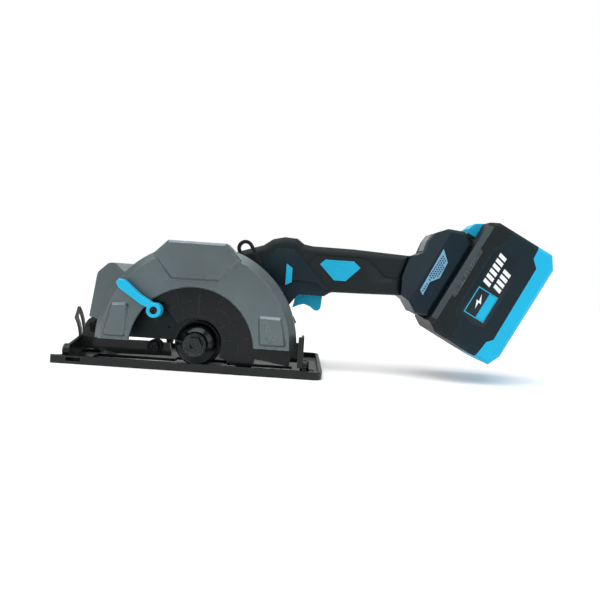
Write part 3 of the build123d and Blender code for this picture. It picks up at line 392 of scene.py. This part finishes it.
def overmould(name, node, region, finish, body):
    """A skin that stands out of a CAD node inside a region given in X and Z."""
    mesh = frame["nodes"][node].data.copy()
    bm = bmesh.new()
    bm.from_mesh(mesh)
    bmesh.ops.remove_doubles(bm, verts=bm.verts, dist=1e-6)
    bmesh.ops.recalc_face_normals(bm, faces=bm.faces)
    bm.normal_update()
    for vertex in bm.verts:
        vertex.co += vertex.normal * GRIP_PROUD * MM
    skin = add_piece(name, bm, finish, body)
    cut = bmesh.new()
    prism(cut, region, -20, 120)
    bmesh.ops.recalc_face_normals(cut, faces=cut.faces)
    cutter = mesh_object("cutter", cut)
    modifier = skin.modifiers.new("cut", "BOOLEAN")
    modifier.operation, modifier.object, modifier.solver = "INTERSECT", cutter, "EXACT"
    graph = bpy.context.evaluated_depsgraph_get()
    result = bpy.data.meshes.new_from_object(skin.evaluated_get(graph))
    skin.modifiers.clear()
    skin.data = result
    skin.data.set_sharp_from_angle(angle=SHARP)
    bpy.data.objects.remove(cutter)
    paint(skin, finish)
    return skin


def strip(bm, points, near, far, width):
    """A thin line along an open run of points, square at its ends."""
    sides = ([], [])
    for index, point in enumerate(points):
        here = Vector(point)
        before = Vector(points[max(index - 1, 0)])
        after = Vector(points[min(index + 1, len(points) - 1)])
        run = (after - before).normalized()
        for side, sign in zip(sides, (1, -1)):
            side.append(here + Vector((-run.y, run.x)) * 0.5 * sign * width)
    for index in range(len(points) - 1):
        prism(bm, [sides[0][index], sides[0][index + 1], sides[1][index + 1], sides[1][index]], near, far)


def inside(point, outline, margin):
    """True when a point lies in an outline and at least the margin away from its sides."""
    within = False
    for index, a in enumerate(outline):
        b = outline[(index + 1) % len(outline)]
        if (a[1] > point[1]) != (b[1] > point[1]):
            if point[0] < (b[0] - a[0]) * (point[1] - a[1]) / (b[1] - a[1]) + a[0]:
                within = not within
        start, run = Vector(a), Vector(b) - Vector(a)
        reach = max(0.0, min(1.0, (Vector(point) - start).dot(run) / run.dot(run)))
        if (start + run * reach - Vector(point)).length < margin:
            return False
    return within


def perforated(name, outline, pitch, radius, near, far, finish, body, margin=0.35, sides=8):
    """A flat plate in X and Z with staggered holes right through it, a margin in from its rim."""
    curve = bpy.data.curves.new(name, "CURVE")
    curve.dimensions, curve.fill_mode, curve.extrude = "2D", "BOTH", 0.5 * abs(far - near) * MM
    shapes = [outline]
    rise = pitch * math.sqrt(3) / 2
    low_x, low_z = (min(point[k] for point in outline) for k in (0, 1))
    high_x, high_z = (max(point[k] for point in outline) for k in (0, 1))
    turns = [k * math.tau / sides for k in range(sides)]
    corners = [(radius * math.cos(turn), radius * math.sin(turn)) for turn in turns]
    for row in range(int((high_z - low_z) / rise) + 1):
        for column in range(int((high_x - low_x) / pitch) + 1):
            at = (low_x + pitch * (column + 0.5 * (row % 2)), low_z + rise * row)
            if inside(at, outline, radius + margin):
                shapes.append([(at[0] + x, at[1] + z) for x, z in corners])
    for shape in shapes:
        spline = curve.splines.new("POLY")
        spline.points.add(len(shape) - 1)
        for point, (x, z) in zip(spline.points, shape):
            point.co = (x * MM, z * MM, 0, 1)
        spline.use_cyclic_u = True
    flat = bpy.data.objects.new(name, curve)
    scene.collection.objects.link(flat)
    mesh = bpy.data.meshes.new_from_object(flat.evaluated_get(bpy.context.evaluated_depsgraph_get()))
    bpy.data.objects.remove(flat)
    bm = bmesh.new()
    bm.from_mesh(mesh)
    bpy.data.meshes.remove(mesh)
    for vertex in bm.verts:
        vertex.co = (vertex.co.x, 0.5 * (near + far) * MM + vertex.co.z, vertex.co.y)
    bmesh.ops.remove_doubles(bm, verts=bm.verts, dist=1e-7)
    return add_piece(name, bm, finish, body)


def leaning_bar(u, width, lean, low_w, high_w):
    """Corners of a bar across the battery's side that leans along its slope."""
    return slope_shape([(u, high_w), (u + width, high_w), (u + width + lean, low_w), (u + lean, low_w)])


def bevel_strip(bm, low_u, high_u, base, side):
    """A flat band on the battery's 45 degree bevel, next to the foot."""
    corners = []
    for lift in (0.3, -0.3):
        out = lift / math.sqrt(2)
        for u in (low_u, high_u):
            for inward, w in ((4.7, 170.8), (0.3, 175.2)):
                x, z = on_slope(u, w - out)
                corners.append(bm.verts.new((x * MM, (base - side * inward + side * out) * MM, z * MM)))
    for face in ((0, 1, 3, 2), (4, 5, 7, 6), (0, 1, 5, 4), (2, 3, 7, 6), (0, 2, 6, 4), (1, 3, 7, 5)):
        bm.faces.new([corners[k] for k in face])


def side_faces(node):
    """Outermost Y of a CAD node on the blade side and on the far side, in millimetres."""
    low_corner, high_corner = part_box(node)
    return ((-1, "left", low_corner.y / MM), (1, "right", high_corner.y / MM))


# ---------------------------------------------------------------- handle
GRIP_REGION = [(96.5, 79.6), (103.6, 88.3), (150.2, 88.4), (155.0, 85.9), (170.4, 71.7), (185.8, 70.3),
               (185.9, 40), (119.5, 40), (118.9, 55.2)]
for node in ("handle_left", "handle_right"):
    overmould("grip_" + node[7:], node, GRIP_REGION, "grip_rubber", "head")

TOP_SEAM = [(96.2, 79.9), (103.6, 88.1), (150.2, 88.2), (155.0, 85.7), (170.4, 71.5), (184.6, 70.1)]
for side, label, face in side_faces("handle_left")[:1] + side_faces("handle_right")[1:]:
    bm = bmesh.new()
    strip(bm, TOP_SEAM, face + side * 0.5, face - side * 0.8, 0.75)
    add_piece("handle_seam_" + label, bm, "seam_and_shade_black", "head")

PANEL = {
    "a": (66.0, 17.9, 92.5), "b": (82.8, 19.2, 92.2), "c": (118.0, 18.1, 54.8), "w5": (111.0, 18.4, 56.6),
    "w4": (105.5, 18.6, 61.0), "w3": (89.3, 19.1, 62.8), "k": (83.0, 19.4, 62.4), "w1": (76.0, 18.7, 58.4),
    "w0": (60.0, 17.8, 58.8), "f": (50.0, 17.8, 74.0),
}
LOWER = {
    "w5": (110.8, 17.7, 55.8), "w4": (105.4, 17.9, 60.2), "w3": (89.3, 18.4, 62.0), "k": (83.0, 18.6, 61.6),
    "w1": (76.0, 18.0, 57.6), "w0": (60.0, 17.7, 58.0), "h": (60.0, 17.7, 33.0), "g": (77.0, 17.9, 38.0),
    "e": (88.5, 18.2, 49.3), "d": (113.4, 17.7, 49.3), "c": (117.6, 17.6, 54.0),
}
PANEL_FACES = [("a", "b", "k", "w1", "w0", "f"), ("b", "c", "w5", "w4", "w3", "k")]
LOWER_FACES = [("w1", "w0", "h", "g", "e", "k"), ("k", "e", "d", "c", "w5", "w4", "w3")]
for side, label in ((-1, "left"), (1, "right")):
    panel = faceted("neck_panel_" + label, PANEL, PANEL_FACES, side, "navy_plastic", "head")
    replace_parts(panel, "side_panels")
    faceted("neck_skirt_" + label, LOWER, LOWER_FACES, side, "navy_plastic", "head")

MESH = [(221.6, 101.4), (226.2, 89), (219.7, 74), (210.6, 69.6), (204.8, 57), (202.2, 61.5)]
HOLE_PITCH, HOLE_RADIUS = 2.4, 0.84
for side, label, face in side_faces("foot_mesh"):
    plate = perforated("foot_mesh_" + label, MESH, HOLE_PITCH, HOLE_RADIUS,
                       face + side * 0.1, face - side * 0.5, "mesh_plastic", "head")
    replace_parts(plate, "foot_mesh")
    # A black sheet just behind the vent's holes: painted shade inside the holes.
    bm = bmesh.new()
    prism(bm, MESH, face - side * 0.35, face - side * 0.75)
    add_piece("foot_mesh_back_" + label, bm, "seam_and_shade_black", "head")

LIGHT_STRIP = [(210.2, 107.2), (212.6, 113.2), (213.6, 112.9), (211.2, 106.9)]
LIGHT_WIDTH = 7.0
bm = bmesh.new()
prism(bm, LIGHT_STRIP, HANDLE_MIDDLE - LIGHT_WIDTH / 2, HANDLE_MIDDLE + LIGHT_WIDTH / 2)
add_piece("charge_light", bm, "blue_plastic", "head")


# ---------------------------------------------------------------- battery graphics
LABEL = [(151, 189), (212, 187.5), (222.5, 196.5), (212.5, 216.5), (149.5, 216.5), (146.5, 205)]
RIB_BAR = [(160.5, 175.4), (208.5, 174.6), (210, 176.2), (208.5, 178.2), (161, 179), (159.5, 177.2)]
BOLT = [(160.5, 199.8), (168.6, 196.6), (168.2, 199.2), (175, 198.0), (166.6, 202.2), (167, 199.4)]
SIGN_FRAME = [(153, 192), (180, 192), (180, 212.8), (153, 212.8)]
SIGN_FOOT = [(153.4, 204.2), (179.6, 204.2), (179.6, 212.4), (153.4, 212.4)]
CHARGE_BARS = ((6, 192.6, 200.4), (4, 203.6, 211.6))      # count, and where they start and end
for side, label, base in side_faces("battery_mid"):
    film, ink = base + side * FILM_PROUD, base + side * INK_PROUD
    under_ink = film - side * PRINT_PROUD
    bm = bmesh.new()
    prism(bm, slope_shape(LABEL), film, base - side * 0.4, 0.2)
    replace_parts(add_piece("battery_film_" + label, bm, "label_film", "battery"), "battery_labels")
    bm = bmesh.new()
    tube(bm, slope_shape(SIGN_FRAME), ink, under_ink, -0.8)
    prism(bm, slope_shape(SIGN_FOOT), ink, under_ink)
    add_piece("battery_print_blue_" + label, bm, "blue_plastic", "battery")
    bm = bmesh.new()
    prism(bm, slope_shape(BOLT), ink, under_ink)
    for count, low_w, high_w in CHARGE_BARS:
        for index in range(count):
            prism(bm, leaning_bar(184.0 + 5.4 * index, 3.6, 2.0, low_w, high_w), ink, under_ink)
    add_piece("battery_print_white_" + label, bm, "print_white", "battery")
    bm = bmesh.new()
    bevel_strip(bm, 133.5, 233.5, base, side)
    add_piece("battery_bevel_" + label, bm, "grey_rib", "battery")
    bm = bmesh.new()
    prism(bm, slope_shape(RIB_BAR), base + side * 0.5, base - side * 0.4, 0.35)
    for index in range(13):
        bar = leaning_bar(163.0 + 3.5 * index, 1.3, 0.9, 175.6, 178.2)
        prism(bm, bar, base + side * 0.9, base + side * 0.3, 0.15)
    add_piece("battery_rib_bar_" + label, bm, "grey_rib", "battery")


# ---------------------------------------------------------------- camera, light, floor
CAMERA_PLACE = (0.0894, -0.518, 0.0670)
CAMERA_ROLL = math.radians(3.9)
CAMERA_LENS, CAMERA_SENSOR = 34.38, 36.0
CAMERA_SHIFT = (-0.001, -0.04)
LAMPS = (                         # name, place, target, width and height, power
    ("top", (0.05, -0.15, 1.2), (0.08, 0.03, 0.03), (1.2, 0.8), 4),
    ("left", (-1.05, -0.85, 0.75), (0.0, 0.0, 0.04), (0.5, 0.9), 2.5),
    ("right", (1.3, -0.55, 0.65), (0.15, 0.02, 0.05), (0.5, 0.9), 2.5),
    ("back", (0.3, 1.3, 0.9), (0.08, 0.05, 0.05), (1.2, 0.6), 4),
)
SKY_LIGHT, SKY_SPREAD = 2.2, math.radians(70)
SKY_TURN = (math.radians(18), math.radians(-14), 0)
FLOOR_RADIUS = 8.0
FLOOR_TONES = ((0.96, 0.96, 0.96, 1), (0.98, 0.98, 0.98, 1))


def add_camera():
    """The photograph's view: level, looking along +Y, with the picture turned a little."""
    data = bpy.data.cameras.new("camera")
    data.lens, data.sensor_width = CAMERA_LENS, CAMERA_SENSOR
    data.shift_x, data.shift_y = CAMERA_SHIFT
    data.clip_start, data.clip_end = 0.01, 50
    camera = bpy.data.objects.new("camera", data)
    scene.collection.objects.link(camera)
    right = Vector((math.cos(CAMERA_ROLL), 0, math.sin(CAMERA_ROLL)))
    up = Vector((-math.sin(CAMERA_ROLL), 0, math.cos(CAMERA_ROLL)))
    turn = Matrix((right, up, right.cross(up))).transposed()
    camera.matrix_world = Matrix.Translation(CAMERA_PLACE) @ turn.to_4x4()
    scene.camera = camera


def add_lamp(name, place, target, size, power):
    """A soft rectangular lamp that faces its target."""
    data = bpy.data.lights.new(name, "AREA")
    data.shape, data.size, data.size_y, data.energy = "RECTANGLE", size[0], size[1], power
    light = bpy.data.objects.new(name, data)
    scene.collection.objects.link(light)
    light.location = place
    light.rotation_mode = "QUATERNION"
    light.rotation_quaternion = (Vector(target) - Vector(place)).to_track_quat("-Z", "Y")


def add_floor():
    """A round pale floor just under the shoe."""
    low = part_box("base_plate")[0].z
    bm = bmesh.new()
    bmesh.ops.create_circle(bm, cap_ends=True, segments=96, radius=FLOOR_RADIUS)
    floor = mesh_object("floor", bm)
    floor.location = (0.1, 0.05, low - 0.0001)
    s = Surface("floor_paper", 0.85, 0.0, 0.2)
    tone = s.span(s.noise(6, 2.0), *MIDRANGE)
    s.set(s.shader, "Base Color", s.mix(tone, *FLOOR_TONES))
    s.bump(s.noise(900, 2.0), 0.05, 0.0001)
    floor.data.materials.append(s.material)


def add_world():
    """A white studio, dimmer as a light than as a background."""
    world = bpy.data.worlds.new("studio")
    world.use_nodes = True
    scene.world = world
    tree = world.node_tree
    seen = tree.nodes.new("ShaderNodeLightPath").outputs["Is Camera Ray"]
    strength = tree.nodes.new("ShaderNodeMapRange")
    strength.inputs[3].default_value = WORLD_LIGHT
    strength.inputs[4].default_value = 1.0
    tree.links.new(seen, strength.inputs[0])
    ground = tree.nodes["Background"]
    ground.inputs["Color"].default_value = (1.0, 1.0, 1.0, 1.0)
    tree.links.new(strength.outputs[0], ground.inputs["Strength"])


def add_sky():
    """A wide soft sun from above, for even light."""
    data = bpy.data.lights.new("sky", "SUN")
    data.energy, data.angle = SKY_LIGHT, SKY_SPREAD
    sky = bpy.data.objects.new("sky", data)
    scene.collection.objects.link(sky)
    sky.rotation_euler = SKY_TURN


scene.view_settings.view_transform = "Standard"
add_camera()
add_floor()
add_world()
for lamp in LAMPS:
    add_lamp(*lamp)
add_sky()
